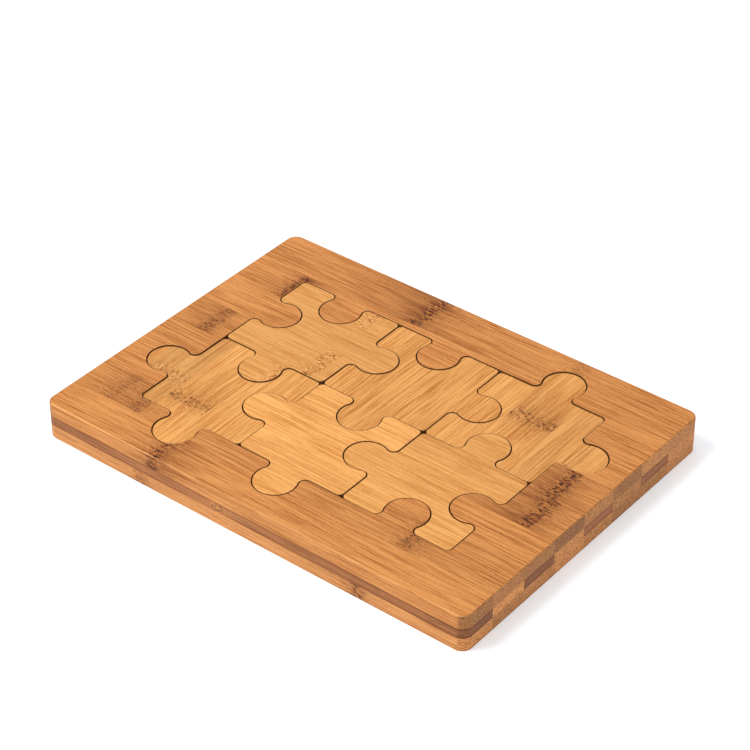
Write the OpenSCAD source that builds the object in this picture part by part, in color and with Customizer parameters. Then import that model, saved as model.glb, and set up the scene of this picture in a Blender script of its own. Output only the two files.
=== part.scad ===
// Tray jigsaw: a three-ply laminated bamboo board with a blind pocket,
// and six interlocking pieces that lift straight up out of it.
// X runs along the strips of the board, Y across them, Z up.
// The origin is at the middle of the underside.

/* [Board] */
// Length of the board, along its strips
board_l = 224; // [210:1:260]
// Width of the board, across its strips
board_w = 166; // [160:1:190]
// Radius of the four upright corners
board_corner_r = 5; // [2:0.5:8]

/* [Plies of the board] */
// Thickness of the top ply
top_ply_t = 6.6; // [4:0.2:8]
// Thickness of the middle ply
middle_ply_t = 4.8; // [3:0.2:8]
// Thickness of the bottom ply, which is the floor of the pocket
bottom_ply_t = 6.6; // [4:0.2:8]
// Width of one bamboo strip in the board
board_strip_w = 20.7; // [20.2:0.1:21]
// Width left on the strip along the front edge after trimming
first_strip_w = 18.1; // [17:0.1:19]

/* [Puzzle] */
// Side of the square cell that each piece fills
cell = 55.1; // [50:0.1:58]
// How far the middle of the puzzle lies behind the middle of the board
puzzle_y = 0.4; // [-2:0.1:2]
// Clearance between a piece and the ideal cutting line
clearance = 0.28; // [0.15:0.01:0.35]
// Radius of the round head of a knob
knob_head_r = 9.7; // [8:0.1:10.5]
// Distance from the cell's edge out to the centre of the head
knob_reach = 8.4; // [7.5:0.1:9]
// Radius of the fillet where the neck of a knob meets the edge
neck_fillet_r = 3; // [2:0.1:3.5]
// Radius of the corners of a cell
cell_corner_r = 2.4; // [1:0.1:4]

/* [Laminate of the pieces] */
// Thickness of the face strips of a piece
face_t = 6; // [4:0.2:8]
// Width of one bamboo strip in a piece
piece_strip_w = 22; // [21:0.1:23]

/* [Hidden] */
$fn = 96;
columns = 3;
rows = 2;
board_strips = 8;
piece_strips = 4;
pocket_depth = top_ply_t + middle_ply_t;
pocket_l = columns * cell;
pocket_w = rows * cell;
far = board_l;
root_overlap = 1;
hair = 0.01;

// Sides of a cell, as the angle that turns +Y to face outwards
SIDES = [90, -90, 180, 0];

// The six pieces: name, column, row, what each side carries in the order of
// SIDES (left, right, front, back; 1 is a knob and -1 is a socket), the
// direction of the grain, where the first seam lies across the grain from the
// middle of the cell, and how far the piece sits below the face of the board
PIECES = [
    ["back_left",    0, 1, [-1,  1,  1, -1], "x", -29.0, 0.0],
    ["back_middle",  1, 1, [-1,  1,  1, -1], "y", -14.4, 0.3],
    ["back_right",   2, 1, [-1,  1, -1,  1], "y",  -7.6, 0.5],
    ["front_left",   0, 0, [ 1, -1,  1, -1], "y", -41.4, 0.4],
    ["front_middle", 1, 0, [ 1, -1,  1, -1], "x", -36.4, 0.0],
    ["front_right",  2, 0, [ 1, -1, -1,  1], "x",  -7.0, 0.2],
];

// Carbonised strips are darker than natural ones, and the middle ply mixes both
NATURAL = "#c98f52";
CARBONISED = "#7a4a2a";
PIECE_FACE = "#dba362";
PIECE_BACKING = "#c08a4e";
MIDDLE_TONES = [CARBONISED, NATURAL, CARBONISED, NATURAL,
                CARBONISED, NATURAL, CARBONISED, NATURAL];

// Y of the seam above strip i of the board, where 0 is the front edge
function board_seam(i) =
    i == 0 ? -board_w / 2 :
    i == board_strips ? board_w / 2 :
    -board_w / 2 + first_strip_w + (i - 1) * board_strip_w;

// Seam above strip i of a piece, measured across the grain
function piece_seam(p, i) =
    i == 0 ? -far :
    i == piece_strips ? far :
    p[5] + (i - 1) * piece_strip_w;

function cell_centre(column, row) =
    [(column + 0.5) * cell - pocket_l / 2, (row + 0.5) * cell - pocket_w / 2 + puzzle_y];

module rounded_rect(l, w, r) {
    square([l, w - 2 * r], center = true);
    square([l - 2 * r, w], center = true);
    for (x = [-1, 1], y = [-1, 1])
        translate([x * (l / 2 - r), y * (w / 2 - r)]) circle(r);
}

// A knob that stands on the line y = 0 and points along +Y, with its whole
// outline moved outwards by grow. The fillets are larger by a hair than the
// ones that only touch the head and the root line, so that they cut both.
module knob(grow) {
    fillet_x = sqrt(pow(knob_head_r + neck_fillet_r, 2) - pow(knob_reach - neck_fillet_r, 2));
    root_y = grow - root_overlap;
    translate([0, knob_reach]) circle(knob_head_r + grow);
    difference() {
        polygon([
            [-fillet_x, root_y], [fillet_x, root_y], [fillet_x, neck_fillet_r],
            [0, knob_reach], [-fillet_x, neck_fillet_r],
        ]);
        for (x = [-fillet_x, fillet_x])
            translate([x, neck_fillet_r]) circle(neck_fillet_r - grow + hair);
    }
}

// Puts a knob on one side of a cell, pointing outwards, or inwards for a socket
module on_side(side, outwards) {
    rotate(SIDES[side]) translate([0, cell / 2])
        if (outwards) children(); else mirror([0, 1]) children();
}

// Outline of one puzzle piece, about the middle of its cell
module piece_outline(p) {
    difference() {
        union() {
            rounded_rect(cell - 2 * clearance, cell - 2 * clearance,
                         cell_corner_r - clearance);
            for (s = [0 : 3]) if (p[3][s] == 1) on_side(s, true) knob(-clearance);
        }
        for (s = [0 : 3]) if (p[3][s] == -1) on_side(s, false) knob(clearance);
    }
}

// True where a side of a cell lies on the edge of the pocket
function on_rim(p, side) =
    side == 0 ? p[1] == 0 :
    side == 1 ? p[1] == columns - 1 :
    side == 2 ? p[2] == 0 :
    p[2] == rows - 1;

// Outline of the pocket: the board's own knobs reach into it, and it has a
// socket for each knob that a piece sends out into the board
module pocket_outline() {
    difference() {
        union() {
            translate([0, puzzle_y])
                rounded_rect(pocket_l + 2 * clearance, pocket_w + 2 * clearance,
                             cell_corner_r + clearance);
            for (p = PIECES, s = [0 : 3]) if (p[3][s] == 1 && on_rim(p, s))
                translate(cell_centre(p[1], p[2])) on_side(s, true) knob(clearance);
        }
        for (p = PIECES, s = [0 : 3]) if (p[3][s] == -1 && on_rim(p, s))
            translate(cell_centre(p[1], p[2])) on_side(s, false) knob(-clearance);
    }
}

// The board's outline between the two seams of strip i
module board_strip_outline(i) {
    y0 = board_seam(i - 1);
    intersection() {
        rounded_rect(board_l, board_w, board_corner_r);
        translate([-board_l / 2, y0]) square([board_l, board_seam(i) - y0]);
    }
}

module bottom_strip(i) {
    color(NATURAL)
        linear_extrude(bottom_ply_t) board_strip_outline(i);
}

module middle_strip(i) {
    color(MIDDLE_TONES[i - 1])
        translate([0, 0, bottom_ply_t]) linear_extrude(middle_ply_t)
            difference() {
                board_strip_outline(i);
                pocket_outline();
            }
}

module top_strip(i) {
    color(NATURAL)
        translate([0, 0, bottom_ply_t + middle_ply_t]) linear_extrude(top_ply_t)
            difference() {
                board_strip_outline(i);
                pocket_outline();
            }
}

// The crosswise lower ply of a piece, which rests on the floor of the pocket
module backing(p) {
    color(PIECE_BACKING)
        translate([0, 0, bottom_ply_t]) translate(cell_centre(p[1], p[2]))
            linear_extrude(pocket_depth - p[6] - face_t) piece_outline(p);
}

// Strip i of the face ply of a piece
module face_strip(p, i) {
    v0 = piece_seam(p, i - 1);
    v1 = piece_seam(p, i);
    color(PIECE_FACE)
        translate([0, 0, bottom_ply_t + pocket_depth - p[6] - face_t])
            translate(cell_centre(p[1], p[2])) linear_extrude(face_t)
                intersection() {
                    piece_outline(p);
                    if (p[4] == "x") translate([-far, v0]) square([2 * far, v1 - v0]);
                    else translate([v0, -far]) square([v1 - v0, 2 * far]);
                }
}

for (i = [1 : board_strips]) {
    bottom_strip(i);
    middle_strip(i);
    top_strip(i);
}
for (p = PIECES) {
    backing(p);
    for (i = [1 : piece_strips])
        face_strip(p, i);
}
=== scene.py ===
"""Looks of the tray jigsaw: laminated bamboo board and six interlocking pieces.

Every shown piece is a CAD node. This script eases their outer edges, gives each
bamboo strip its own procedural wood, and sets the camera, light and floor.
"""

import math

import bpy
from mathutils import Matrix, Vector


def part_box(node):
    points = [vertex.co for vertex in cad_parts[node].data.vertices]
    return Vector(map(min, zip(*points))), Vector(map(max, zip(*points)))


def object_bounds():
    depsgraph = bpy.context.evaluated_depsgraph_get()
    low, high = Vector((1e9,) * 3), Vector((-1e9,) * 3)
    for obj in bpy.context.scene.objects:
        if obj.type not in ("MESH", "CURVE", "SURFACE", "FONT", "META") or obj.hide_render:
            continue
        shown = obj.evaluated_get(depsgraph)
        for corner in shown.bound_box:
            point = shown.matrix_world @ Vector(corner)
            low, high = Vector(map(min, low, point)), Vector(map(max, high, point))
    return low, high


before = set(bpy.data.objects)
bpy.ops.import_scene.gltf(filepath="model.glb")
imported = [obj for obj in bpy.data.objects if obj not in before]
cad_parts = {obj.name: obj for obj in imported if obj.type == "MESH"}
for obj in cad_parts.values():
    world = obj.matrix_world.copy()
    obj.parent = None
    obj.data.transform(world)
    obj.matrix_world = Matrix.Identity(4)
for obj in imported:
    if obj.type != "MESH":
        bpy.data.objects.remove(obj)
cad_low, cad_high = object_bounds()

MM = 0.001
BOARD_LENGTH = cad_high.x - cad_low.x
BOARD_TOP = cad_high.z
NOWHERE = -1.0
STRIPS = range(1, 9)
FACES = range(1, 5)

# ---------------------------------------------------------------- driving values

# Camera, in board lengths from the middle of the board's box; angles in degrees, lens in mm
CAMERA_AZIMUTH = 38.58
CAMERA_ELEVATION = 37.52
CAMERA_DISTANCE = 4.811
CAMERA_AIM = (-0.0586, 0.0850)
CAMERA_LENS = 121.2
SENSOR_WIDTH = 36

# Rounding of the edges, in millimetres unless it is an angle or a count
BOARD_EASING = 0.9
UNDER_EASING = 0.3
POCKET_EASING = 0.12
PIECE_EASING = 0.12
EASING_SEGMENTS = 3
SEAM_STUB = 0.45
RIM_MARGIN = 5
WELD_REACH = 0.002
SAME_POINT = 0.001
TOUCH = 0.01
SHARP_ANGLE = math.radians(30)
FLAT_ANGLE = math.radians(0.2)

# A culm's node: half the width of its speckled bar and the reach of its bent fibres, in mm
NODE_HALF_WIDTH = 3.8
NODE_BEND_REACH = 7.0

# The surface of the wood; fibres are rougher the darker they are, and bumps are in mm
WOOD_IOR = 1.45
WOOD_SPECULAR = 0.18
WOOD_ROUGHNESS = 0.50
FIBRE_ROUGHNESS = 0.10
BUMP_STRENGTH = 0.3
BUMP_HEIGHT = 0.05

# Upright faces nearer than this to the middle of the board, in mm, are walls of a cut, which get
# painted shade
RIM_X = 108
RIM_Y = 80

# What painted shade on a cut wall, a glue line or painted shade at the board's foot keeps of the
# wood's colour
GAP_SHADE_TINT = (0.42, 0.42, 0.42, 1.0)
LINE_TINT = (0.62, 0.48, 0.34, 1.0)

# Stage: one soft lamp, a pale sky, and a floor that glows a little so that it stays white
LAMP_PLACE = (-0.8, -0.9, 1.8)
LAMP_SIZE = 0.8
LAMP_WATTS = 25
LAMP_COLOUR = (1.0, 0.97, 0.93)
SKY_COLOUR = (0.94, 0.98, 1.05, 1)
SKY_STRENGTH = 0.76
FLOOR_HALF = 6.0
FLOOR_COLOUR = (0.93, 0.93, 0.94, 1)
GLOW_COLOUR = (0.94, 1.0, 0.96, 1)
GLOW_STRENGTH = 0.265

# Wood colours (sRGB). light and dark are the fibres, the edge colour is a painted highlight on an
# eased upper edge, and side tints the faces beside the fibres. A culm's node has a stain, pits and
# curls, each with how strongly it shows. glue is how strongly the glue lines at the edges of a
# strip show
BOARD = {
    "light": (224, 151, 83), "dark": (158, 88, 31), "edge_highlight": (236, 172, 108),
    "side": (0.94, 0.96, 1.02),
    "stain": (1.0, (106, 46, 13)), "pit": (0.9, (54, 24, 12)), "curl": (0.5, (216, 134, 62)),
    "end_light": (194, 129, 72), "end_dark": (100, 55, 28),
}
LOW_BOARD = {**BOARD, "light": (224, 156, 91), "dark": (168, 101, 46)}
CARBON = {
    **BOARD, "light": (180, 116, 67), "dark": (120, 69, 34), "edge_highlight": (180, 116, 67),
    "stain": (1.0, (216, 146, 86)), "end_light": (154, 96, 58), "end_dark": (108, 62, 34),
    "glue": 0.75,
}
PIECE = {
    "light": (242, 175, 99), "dark": (186, 111, 41), "edge_highlight": (248, 194, 126),
    "side": (0.94, 0.96, 1.02),
    "stain": (0.75, (150, 86, 34)), "pit": (0.9, (96, 50, 20)), "curl": (0.5, (238, 172, 96)),
    "end_light": (204, 144, 86), "end_dark": (124, 72, 36),
}
PALE_PIECE = {
    **PIECE, "stain": (0.35, (204, 126, 54)), "pit": (0.9, (164, 90, 36)),
    "curl": (1.0, (248, 194, 122)),
}


def linear(rgb):
    """sRGB 0-255 to the linear colour that a shader socket holds."""
    out = []
    for c in rgb:
        c /= 255
        out.append(c / 12.92 if c <= 0.04045 else ((c + 0.055) / 1.055) ** 2.4)
    return (*out, 1.0)


# ---------------------------------------------------------------- edge easing

def seam_planes(names, axis):
    """Where two strips of one ply meet: the coordinates of their shared faces."""
    lows = [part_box(n)[0][axis] for n in names]
    highs = [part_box(n)[1][axis] for n in names]
    return [h for h in highs if any(abs(h - l) < TOUCH * MM for l in lows)]


def welded_angles(mesh):
    """Face angle at each edge of the mesh as if its split corners were joined."""
    def key(i):
        return tuple(round(c / (SAME_POINT * MM)) for c in mesh.vertices[i].co)
    normals = {}
    for poly in mesh.polygons:
        for a, b in poly.edge_keys:
            pair = frozenset((key(a), key(b)))
            normals.setdefault(pair, []).append(poly.normal.copy())
    angles = {}
    for edge in mesh.edges:
        a, b = edge.vertices
        around = normals.get(frozenset((key(a), key(b))), [])
        angles[edge.index] = around[0].angle(around[1], 0.0) if len(around) == 2 else math.pi
    return angles


def ease(name, axis, seams, level, width_at):
    """Rounds a node's outline at height level; width_at gives an edge's rounding in mm.

    The edges that lie in a seam stay sharp, so that neighbouring strips stay flush, and so
    do the last short pieces of a curve that ends at a seam, which are too short to round.
    """
    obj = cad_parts[name]
    mesh = obj.data
    if "custom_normal" in mesh.attributes:
        mesh.attributes.remove(mesh.attributes["custom_normal"])
    mesh.polygons.foreach_set("use_smooth", [True] * len(mesh.polygons))
    angles = welded_angles(mesh)
    weights = mesh.attributes.new("bevel_weight_edge", "FLOAT", "EDGE")
    widest = 0.0
    for edge in mesh.edges:
        a, b = (mesh.vertices[i].co for i in edge.vertices)
        corner = angles[edge.index] > SHARP_ANGLE
        flat = abs(a.z - level) < TOUCH * MM and abs(b.z - level) < TOUCH * MM
        in_seam = any(max(abs(a[axis] - s), abs(b[axis] - s)) < SEAM_STUB * MM for s in seams)
        eased = corner and flat and not in_seam
        edge.use_edge_sharp = corner and not eased
        if eased:
            width = width_at((a + b) / 2)
            weights.data[edge.index].value = width / BOARD_EASING
            widest = max(widest, width)
    weld = obj.modifiers.new("weld", "WELD")
    weld.merge_threshold = WELD_REACH * MM
    flatten = obj.modifiers.new("flat faces", "DECIMATE")
    flatten.decimate_type = "DISSOLVE"
    flatten.angle_limit = FLAT_ANGLE
    if widest:
        bevel = obj.modifiers.new("eased edges", "BEVEL")
        bevel.limit_method = "WEIGHT"
        bevel.width = BOARD_EASING * MM
        bevel.segments = EASING_SEGMENTS
        bevel.use_clamp_overlap = False
        bevel.miter_outer = "MITER_SHARP"
    shade = obj.modifiers.new("flat shading weight", "WEIGHTED_NORMAL")
    shade.keep_sharp = True


def board_edge_width(point):
    """The board's outer edge is rounded most at the top, less below and least at the pocket."""
    rim = min(point.x - cad_low.x, cad_high.x - point.x,
              point.y - cad_low.y, cad_high.y - point.y)
    if rim > RIM_MARGIN * MM:
        return POCKET_EASING
    return UNDER_EASING if point.z < BOARD_TOP / 2 else BOARD_EASING


def ease_all():
    for ply, level in (("bottom", cad_low.z), ("middle", NOWHERE), ("top", BOARD_TOP)):
        names = [f"{ply}_strip_{i}" for i in STRIPS]
        seams = seam_planes(names, 1)
        for name in names:
            ease(name, 1, seams, level, board_edge_width)
    for piece, look in PIECE_LOOKS.items():
        axis = 1 if look["grain"] == "x" else 0
        names = [f"{piece}_face_{i}" for i in FACES]
        seams = seam_planes(names, axis)
        for name in names:
            ease(name, axis, seams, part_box(name)[1].z, lambda point: PIECE_EASING)
        backing = f"{piece}_backing"
        ease(backing, axis, [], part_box(backing)[0].z, lambda point: PIECE_EASING)


# ---------------------------------------------------------------- bamboo material

class Graph:
    """Short calls for building a node tree out of numbers and sockets."""

    def __init__(self, tree):
        self.tree = tree

    def add(self, kind, **values):
        node = self.tree.nodes.new(kind)
        for key, value in values.items():
            setattr(node, key, value)
        return node

    def feed(self, socket, value):
        if isinstance(value, bpy.types.NodeSocket):
            self.tree.links.new(value, socket)
        elif value is not None:
            socket.default_value = value

    def math(self, operation, a, b=None, c=None, clamp=False):
        node = self.add("ShaderNodeMath", operation=operation, use_clamp=clamp)
        for socket, value in zip(node.inputs, (a, b, c)):
            self.feed(socket, value)
        return node.outputs[0]

    def noise(self, vector, detail=2.0, roughness=0.5, seed=0.0):
        node = self.add("ShaderNodeTexNoise", noise_dimensions="4D")
        self.feed(node.inputs["Vector"], vector)
        self.feed(node.inputs["W"], seed)
        node.inputs["Scale"].default_value = 1.0
        node.inputs["Detail"].default_value = detail
        node.inputs["Roughness"].default_value = roughness
        return node.outputs["Fac"]

    def vector(self, x, y, z):
        node = self.add("ShaderNodeCombineXYZ")
        for socket, value in zip(node.inputs, (x, y, z)):
            self.feed(socket, value)
        return node.outputs[0]

    def scaled(self, coords, x, y, z):
        """Three coordinates, each times its own factor: for noise, its detail per millimetre."""
        return self.vector(*(self.math("MULTIPLY", c, k) for c, k in zip(coords, (x, y, z))))

    def step(self, value, low, high):
        """0 below low, 1 above high, smooth between."""
        node = self.add("ShaderNodeMapRange", interpolation_type="SMOOTHSTEP")
        for socket, v in zip(node.inputs, (value, low, high, 0.0, 1.0)):
            self.feed(socket, v)
        return node.outputs[0]

    def mix(self, factor, a, b, blend="MIX"):
        node = self.add("ShaderNodeMix", data_type="RGBA", blend_type=blend)
        self.feed(node.inputs[0], factor)
        self.feed(node.inputs[6], a)
        self.feed(node.inputs[7], b)
        return node.outputs[2]

    def tinted(self, factor, colour, tint):
        """colour, multiplied by tint as far as factor says."""
        return self.mix(factor, colour, tint, "MULTIPLY")


def spread(g, coords, seed, size):
    """A slow random offset between -size / 2 and size / 2 millimetres."""
    return g.math("MULTIPLY", g.math("SUBTRACT", g.noise(coords, seed=seed), 0.5), size)


def culm_nodes(g, u, v, w, marks, seed):
    """Where the culm's nodes cross a strip: (speckled bar, smear beside it, bent fibres).

    Each mark is (place mm, strength, smear before it mm, smear after it mm).
    """
    wander = spread(g, g.scaled((u, v, w), 0.0, 0.16, 0.16), seed, 4.0)
    ragged = spread(g, g.scaled((u, v, w), 0.0, 0.9, 0.9), seed + 1, 3.0)
    bar, smear, bend = 0.0, 0.0, 0.0
    for at, strength, before, after in marks:
        away = g.math("SUBTRACT", g.math("ADD", u, g.math("ADD", wander, ragged)), at)
        flat_top = g.math("POWER", g.math("DIVIDE", away, NODE_HALF_WIDTH), 4.0)
        core = g.math("EXPONENT", g.math("MULTIPLY", flat_top, -1.0))
        behind = g.math("MULTIPLY", g.math("MINIMUM", away, 0.0), 1 / before)
        ahead = g.math("MULTIPLY", g.math("MAXIMUM", away, 0.0), -1 / after)
        fade = g.math("EXPONENT", g.math("ADD", behind, ahead))
        wide = g.math("POWER", g.math("DIVIDE", away, NODE_BEND_REACH), 2.0)
        bar = g.math("MULTIPLY_ADD", core, strength, bar)
        smear = g.math("MULTIPLY_ADD", fade, strength, smear)
        bend = g.math("ADD", bend, g.math("EXPONENT", g.math("MULTIPLY", wide, -1.0)))
    return bar, smear, bend


def bent_fibres(g, u, v, w, bend, seed):
    """v and w as the fibres run: they ripple round the culm's nodes and drift a little."""
    ripple = g.noise(g.scaled((u, v, w), 0.40, 0.45, 0.45), seed=seed + 3)
    bent = g.math("MULTIPLY", g.math("SUBTRACT", ripple, 0.5),
                  g.math("MULTIPLY_ADD", bend, 2.4, 0.05))
    drift = spread(g, g.scaled((u, v, w), 0.014, 0.05, 0.05), seed + 4, 2.2)
    shift = g.math("ADD", bent, drift)
    return g.math("ADD", v, shift), g.math("ADD", w, shift)


def fibre_depth(g, straight, bent, streak, seed):
    """How dark the long grain is, 0 to 1: thin lines of three widths, pores and clouds."""
    hair = g.noise(g.scaled(bent, 0.05, 3.2, 3.2), 2.0, 0.6, seed + 5)
    pore = g.noise(g.scaled(bent, 0.55, 3.0, 3.0), 1.0, 0.5, seed + 2)
    fibre = g.noise(g.scaled(bent, 0.028, 2.1, 2.1), 2.0, 0.6, seed + 6)
    band = g.noise(g.scaled(bent, 0.012, 0.42, 0.42), 2.0, 0.5, seed + 7)
    cloud = g.noise(g.scaled(straight, 0.02, 0.05, 0.05), 1.0, 0.5, seed + 8)
    depth = g.math("MULTIPLY_ADD", g.step(fibre, 0.36, 0.64), 0.62 * streak, 0.05)
    hair = g.step(hair, 0.30, 0.70)
    for layer, weight in ((hair, 0.75 * streak), (pore, 0.7), (band, 0.6 * streak), (cloud, 0.55)):
        depth = g.math("MULTIPLY_ADD", g.math("SUBTRACT", layer, 0.5), weight, depth)
    return g.math("MAXIMUM", g.math("MINIMUM", depth, 1.0), 0.0)


def with_nodes(g, wood, palette, bent, bar, smear, seed):
    """Adds the culm's nodes: a stain that follows the fibres away, pits, and bright curls."""
    speck = g.noise(g.scaled(bent, 0.62, 1.05, 1.05), 2.0, 0.6, seed + 9)
    comb = g.noise(g.scaled(bent, 0.07, 1.25, 1.25), 3.0, 0.65, seed + 10)
    near = g.math("MAXIMUM", smear, bar)
    stained = g.math("MULTIPLY_ADD", g.step(comb, 0.32, 0.68), 0.75, 0.30)
    pitted = g.step(speck, 0.53, 0.60)
    curled = g.math("SUBTRACT", 1.0, g.step(speck, 0.36, 0.45))
    for look, where, pattern in (("stain", near, stained), ("pit", bar, pitted),
                                 ("curl", bar, curled)):
        strength, colour = palette[look]
        amount = g.math("MULTIPLY", g.math("MULTIPLY", where, pattern), strength, clamp=True)
        wood = g.mix(amount, wood, linear(colour))
    return wood


def end_grain_depth(g, u, v, w, seed):
    """How dark the end grain is, 0 to 1: staggered rows of dark bundles in paler wood."""
    leaning = g.math("MULTIPLY_ADD", w, 0.75, v)
    cells = g.add("ShaderNodeTexVoronoi", voronoi_dimensions="3D", feature="F1")
    g.feed(cells.inputs["Vector"], g.scaled((u, leaning, w), 0.0, 0.88, 1.35))
    cells.inputs["Scale"].default_value = 1.0
    cells.inputs["Randomness"].default_value = 0.45
    bundle = g.math("SUBTRACT", 1.0, g.step(cells.outputs["Distance"], 0.16, 0.55))
    grit = g.noise(g.scaled((u, v, w), 0.3, 0.5, 0.9), 3.0, 0.6, seed + 11)
    return g.math("MULTIPLY_ADD", g.math("SUBTRACT", grit, 0.5), 1.15,
                  g.math("MULTIPLY", bundle, 0.75), clamp=True)


def painted_edge_highlight(g, place, upward, along, seed):
    """How strong the painted highlight on the eased upper edges is, less so on the end grain."""
    arris = g.math("MULTIPLY", g.step(upward, 0.35, 0.65),
                   g.math("SUBTRACT", 1.0, g.step(upward, 0.82, 0.96)))
    nicks = g.noise(g.scaled(place, 0.12, 0.9, 0.9), 3.0, 0.6, seed + 12)
    most = g.math("MULTIPLY_ADD", g.step(along, 0.15, 0.4), -0.45, 0.65)
    return g.math("MULTIPLY", g.math("MULTIPLY", arris, g.step(nicks, 0.30, 0.62)), most)


def dark_lines(g, name, w, upward, is_end, glue_strength):
    """Glue lines along a strip's lower and upper edge, and painted shade at the foot of the board.
    """
    low, high = (corner.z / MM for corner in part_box(name))
    inset = g.math("MINIMUM", g.math("SUBTRACT", w, low), g.math("SUBTRACT", high, w))
    glue = g.math("MULTIPLY", g.math("SUBTRACT", 1.0, g.step(inset, 0.3, 1.5)), glue_strength)
    # Painted shade: the lowest millimetre of the upright faces is darkened, more on the end grain
    foot = g.math("MULTIPLY", g.math("SUBTRACT", 1.0, g.step(w, 0.3, 1.1)),
                  g.step(upward, -0.5, -0.1))
    foot = g.math("MULTIPLY", foot, g.math("MULTIPLY_ADD", is_end, 0.6, 0.35))
    return g.math("MAXIMUM", glue, foot)


def painted_gap_shade(g, x, y, upward):
    """1 on the walls of the pocket and of the pieces, which get painted shade to darken the gaps.
    """
    inside = g.math("MULTIPLY", g.math("LESS_THAN", g.math("ABSOLUTE", x), RIM_X),
                    g.math("LESS_THAN", g.math("ABSOLUTE", y), RIM_Y))
    return g.math("MULTIPLY", inside, g.math("SUBTRACT", 1.0, g.step(upward, 0.1, 0.5)))


def bamboo(name, grain, palette, seed, tone=1.0, end_tone=1.0, streak=1.0, marks=()):
    """One bamboo strip, with its fibres along "x" or "y"; name is also its CAD node.

    u runs along the fibres, v across them and w up, all in millimetres.
    """
    material = bpy.data.materials.new(name)
    material.use_nodes = True
    g = Graph(material.node_tree)
    surface = material.node_tree.nodes["Principled BSDF"]

    place = g.add("ShaderNodeTexCoord")
    split = g.add("ShaderNodeSeparateXYZ")
    g.feed(split.inputs[0], place.outputs["Object"])
    x, y, w = (g.math("MULTIPLY", s, 1 / MM) for s in split.outputs)
    u, v = (x, y) if grain == "x" else (y, x)
    normal = g.add("ShaderNodeSeparateXYZ")
    g.feed(normal.inputs[0], place.outputs["Normal"])
    along = g.math("ABSOLUTE", normal.outputs[0 if grain == "x" else 1])
    across = g.math("ABSOLUTE", normal.outputs[1 if grain == "x" else 0])
    upward = normal.outputs[2]
    is_end = g.step(along, 0.15, 0.40)
    is_side = g.step(across, 0.45, 0.75)

    # Long grain, which shows on the faces beside the fibres
    bar, smear, bend = culm_nodes(g, u, v, w, marks, seed)
    bent = (u, *bent_fibres(g, u, v, w, bend, seed))
    depth = fibre_depth(g, (u, v, w), bent, streak, seed)
    long_grain = g.mix(depth, linear(palette["light"]), linear(palette["dark"]))
    long_grain = with_nodes(g, long_grain, palette, bent, bar, smear, seed)
    long_grain = g.tinted(1.0, long_grain, (tone, tone, tone, 1.0))
    long_grain = g.tinted(is_side, long_grain, (*palette["side"], 1.0))

    # End grain, which shows on the faces that look along the fibres
    end_depth = end_grain_depth(g, u, v, w, seed)
    end_grain = g.mix(end_depth, linear(palette["end_light"]), linear(palette["end_dark"]))
    end_grain = g.tinted(1.0, end_grain, (end_tone, end_tone, end_tone, 1.0))
    wood = g.mix(is_end, long_grain, end_grain)

    # Painted highlight on the upper edges, glue lines, and painted shade at the foot and on cut
    # walls
    edge_highlight = painted_edge_highlight(g, (x, y, w), upward, along, seed)
    wood = g.mix(edge_highlight, wood, linear(palette["edge_highlight"]))
    lines = dark_lines(g, name, w, upward, is_end, palette.get("glue", 0.0))
    wood = g.tinted(lines, wood, LINE_TINT)
    g.feed(surface.inputs["Base Color"], g.tinted(painted_gap_shade(g, x, y, upward), wood, GAP_SHADE_TINT))

    g.feed(surface.inputs["Roughness"], g.math("MULTIPLY_ADD", depth, FIBRE_ROUGHNESS,
                                               WOOD_ROUGHNESS))
    surface.inputs["IOR"].default_value = WOOD_IOR
    surface.inputs["Specular IOR Level"].default_value = WOOD_SPECULAR
    bump = g.add("ShaderNodeBump")
    bump.inputs["Strength"].default_value = BUMP_STRENGTH
    bump.inputs["Distance"].default_value = BUMP_HEIGHT * MM
    g.feed(bump.inputs["Height"], g.math("MULTIPLY", g.math("ADD", depth, end_depth), -1.0))
    g.feed(surface.inputs["Normal"], bump.outputs[0])
    return material


# Tone of each board strip from front to back: on its long faces and on its ends
FACE_TONES = {
    "bottom": (1.04, 0.97, 1.00, 0.98, 1.00, 0.97, 0.98, 1.00),
    "middle": (1.00, 1.00, 1.00, 1.00, 1.05, 0.98, 1.02, 1.00),
    "top": (1.00, 0.94, 1.00, 0.96, 0.97, 1.00, 1.01, 0.99),
}
END_TONES = {
    "bottom": (1.22, 0.96, 1.05, 1.25, 1.04, 0.83, 0.90, 1.09),
    "middle": (0.80, 1.36, 0.87, 1.18, 1.18, 0.96, 1.09, 1.16),
    "top": (0.72, 0.89, 0.81, 0.61, 0.95, 0.70, 1.07, 0.96),
}
# Nodes of the culm in each strip: (place along it mm, strength, smear before mm, after mm)
BOARD_MARKS = {
    ("top", 1): [(-50, 1.0, 6, 10)],
    ("top", 2): [(-92, 0.4, 5, 3), (-78, 0.6, 8, 3), (67, 0.6, 4, 8)],
    ("top", 4): [(97, 1.0, 20, 7)],
    ("top", 5): [(-94, 0.7, 8, 5), (94, 1.0, 14, 8)],
    ("top", 7): [(-83, 1.0, 5, 8)],
    ("top", 8): [(-23, 1.0, 18, 8), (54, 0.3, 4, 4)],
    ("middle", 1): [(-15, 0.9, 14, 12)],
    ("bottom", 1): [(-58, 0.5, 4, 6), (59, 0.7, 5, 4)],
}
# Strips of the middle ply that are carbonised
CARBONISED = {1, 3, 5, 7}
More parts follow.
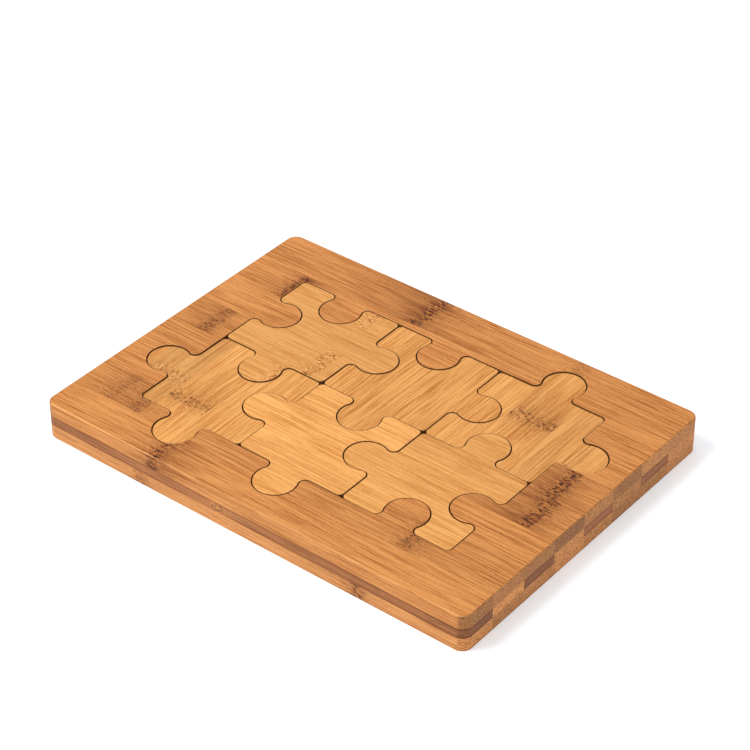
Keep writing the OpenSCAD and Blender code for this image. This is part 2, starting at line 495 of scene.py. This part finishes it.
# For each piece: its grain, how streaky it is, the tone of each face strip, the strips whose
# culm nodes are pale, and the culm nodes of each strip
PIECE_LOOKS = {
    "back_left": {
        "grain": "x", "streak": 0.75, "tones": (0.93, 0.89, 0.89, 0.91), "pale": FACES,
        "marks": {1: [(-46, 1.0, 3, 3)], 2: [(-37, 1.0, 4, 3)], 4: [(-41, 0.9, 3, 3)]}},
    "back_middle": {
        "grain": "y", "streak": 1.1, "tones": (0.98, 0.94, 0.93, 0.97), "pale": (),
        "marks": {}},
    "back_right": {
        "grain": "y", "streak": 1.0, "tones": (0.96, 0.96, 0.88, 0.95), "pale": (),
        "marks": {2: [(36, 1.0, 7, 14)]}},
    "front_left": {
        "grain": "y", "streak": 1.0, "tones": (0.92, 0.79, 1.00, 0.98), "pale": (2,),
        "marks": {2: [(-35, 0.8, 4, 3)], 3: [(-44, 0.9, 5, 12)]}},
    "front_middle": {
        "grain": "x", "streak": 0.9, "tones": (1.04, 1.01, 1.08, 1.04), "pale": (),
        "marks": {}},
    "front_right": {
        "grain": "x", "streak": 0.9, "tones": (0.99, 0.96, 0.91, 0.92), "pale": (),
        "marks": {}},
}
BACKING_TONE = 0.93


def dress(name, material):
    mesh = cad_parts[name].data
    mesh.materials.clear()
    mesh.materials.append(material)


def dress_board():
    for p, ply in enumerate(("bottom", "middle", "top")):
        for i in STRIPS:
            name = f"{ply}_strip_{i}"
            palette = LOW_BOARD if ply == "bottom" else BOARD
            if ply == "middle" and i in CARBONISED:
                palette = CARBON
            dress(name, bamboo(
                name, "x", palette, seed=13.7 * i + 41.3 * p,
                tone=FACE_TONES[ply][i - 1], end_tone=END_TONES[ply][i - 1],
                marks=BOARD_MARKS.get((ply, i), ())))


def dress_pieces():
    for k, (piece, look) in enumerate(PIECE_LOOKS.items()):
        for i in FACES:
            name = f"{piece}_face_{i}"
            palette = PALE_PIECE if i in look["pale"] else PIECE
            dress(name, bamboo(
                name, look["grain"], palette, seed=200 + 17.9 * k + 5.3 * i,
                tone=look["tones"][i - 1], streak=look["streak"],
                marks=look["marks"].get(i, ())))
        crosswise = "y" if look["grain"] == "x" else "x"
        name = f"{piece}_backing"
        dress(name, bamboo(name, crosswise, PIECE, seed=400 + 23.1 * k, tone=BACKING_TONE))


# ---------------------------------------------------------------- stage

def add_camera():
    data = bpy.data.cameras.new("camera")
    data.lens = CAMERA_LENS
    data.sensor_width = SENSOR_WIDTH
    camera = bpy.data.objects.new("camera", data)
    bpy.context.scene.collection.objects.link(camera)
    azimuth, elevation = math.radians(CAMERA_AZIMUTH), math.radians(CAMERA_ELEVATION)
    centre = (cad_low + cad_high) / 2
    towards = Vector((math.sin(azimuth) * math.cos(elevation),
                      -math.cos(azimuth) * math.cos(elevation), math.sin(elevation)))
    camera.location = centre + towards * CAMERA_DISTANCE * BOARD_LENGTH
    aim = Vector((CAMERA_AIM[0] * BOARD_LENGTH, CAMERA_AIM[1] * BOARD_LENGTH, BOARD_TOP))
    camera.rotation_euler = (aim - camera.location).to_track_quat("-Z", "Y").to_euler()
    data.clip_start, data.clip_end = 0.05, 20
    bpy.context.scene.camera = camera


def add_lamp():
    data = bpy.data.lights.new("key", "AREA")
    data.shape = "SQUARE"
    data.size = LAMP_SIZE
    data.energy = LAMP_WATTS
    data.color = LAMP_COLOUR
    lamp = bpy.data.objects.new("key", data)
    bpy.context.scene.collection.objects.link(lamp)
    lamp.location = LAMP_PLACE
    lamp.rotation_euler = (-Vector(LAMP_PLACE)).to_track_quat("-Z", "Y").to_euler()


def add_floor():
    mesh = bpy.data.meshes.new("floor")
    corners = [(-1, -1), (1, -1), (1, 1), (-1, 1)]
    mesh.from_pydata([(x * FLOOR_HALF, y * FLOOR_HALF, 0) for x, y in corners],
                     [], [(0, 1, 2, 3)])
    floor = bpy.data.objects.new("floor", mesh)
    bpy.context.scene.collection.objects.link(floor)
    material = bpy.data.materials.new("floor")
    material.use_nodes = True
    surface = material.node_tree.nodes["Principled BSDF"]
    surface.inputs["Base Color"].default_value = FLOOR_COLOUR
    surface.inputs["Roughness"].default_value = 0.9
    surface.inputs["Specular IOR Level"].default_value = 0.1
    surface.inputs["Emission Color"].default_value = GLOW_COLOUR
    surface.inputs["Emission Strength"].default_value = GLOW_STRENGTH
    mesh.materials.append(material)


def add_sky():
    world = bpy.data.worlds.new("studio")
    world.use_nodes = True
    sky = world.node_tree.nodes["Background"]
    sky.inputs["Color"].default_value = SKY_COLOUR
    sky.inputs["Strength"].default_value = SKY_STRENGTH
    bpy.context.scene.world = world
    bpy.context.scene.view_settings.view_transform = "Standard"


add_camera()
add_floor()
add_sky()
add_lamp()
ease_all()
dress_board()
dress_pieces()
